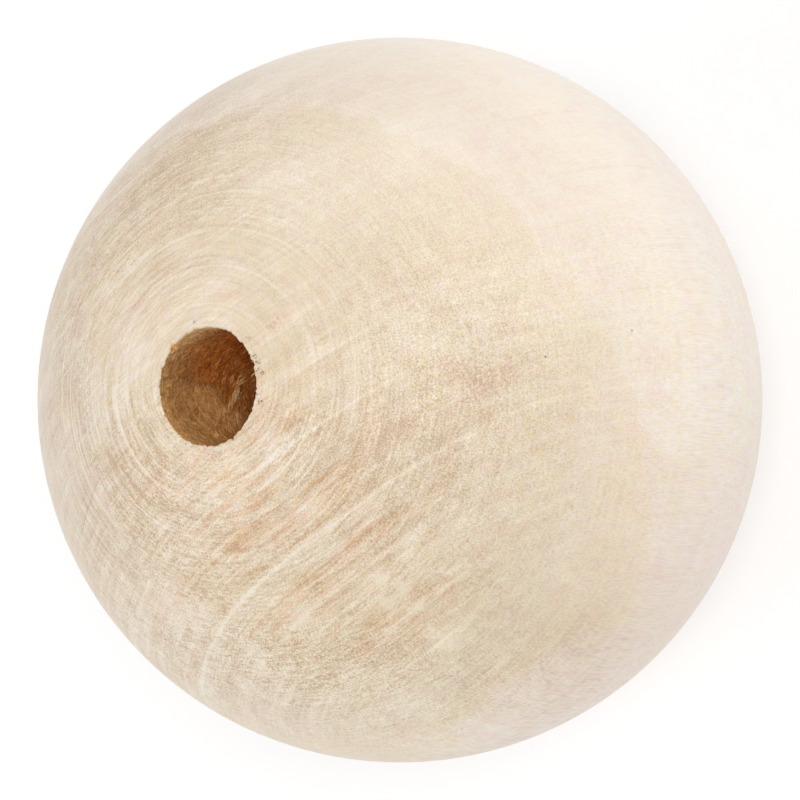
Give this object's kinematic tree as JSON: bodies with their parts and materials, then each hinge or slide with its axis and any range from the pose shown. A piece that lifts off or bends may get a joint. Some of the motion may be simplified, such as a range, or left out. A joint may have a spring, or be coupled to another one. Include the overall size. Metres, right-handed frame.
{
  "type": "wooden bead",
  "caption": "Plain turned wooden ball bead with a straight hole drilled through along the grain, for threading on a cord or pegging on a dowel.",
  "frame": {"origin": "centre of the ball, on the axis of the bore and halfway along it", "axes": "+Z along the bore, which is also the way the grain runs; the bead is round about Z and the same at both ends, and it stands on the rim of its lower mouth"},
  "size_m": [0.05, 0.05, 0.0492],
  "materials": {
    "wood": "matte"
  },
  "bodies": {
    "root": {"bead": "wood"}
  },
  "joints": []
}
